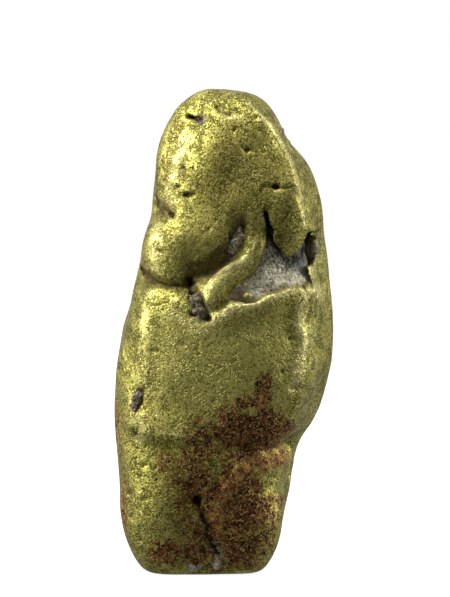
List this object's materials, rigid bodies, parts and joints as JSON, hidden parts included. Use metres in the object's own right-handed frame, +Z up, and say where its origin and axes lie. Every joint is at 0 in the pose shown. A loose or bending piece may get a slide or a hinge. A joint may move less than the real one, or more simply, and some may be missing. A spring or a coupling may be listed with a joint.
{
  "type": "native gold specimen",
  "caption": "Upright native gold nugget with a waist, a folded finger and a crevice filled with quartz, standing on a small flat spot.",
  "frame": {"origin": "on the flat spot that the nugget stands on, under the middle of the nugget's width and depth", "axes": "+Z up along the nugget's length, +X to the right seen from the front, and -Y out of the front, which has the quartz crevice"},
  "size_m": [0.0127, 0.0095, 0.028],
  "materials": {
    "gold": "native gold, greenish yellow, finely pitted and half polished by water, with reddish brown iron stain low on the front",
    "quartz": "grey white quartz, rough broken surface, dull to glassy, darkened in its cracks"
  },
  "bodies": {
    "root": {"gold_nugget": "gold", "quartz_crevice": "quartz", "quartz_pit": "quartz", "quartz_groove": "quartz", "quartz_side": "quartz", "quartz_seam": "quartz", "quartz_foot": "quartz"}
  },
  "joints": []
}
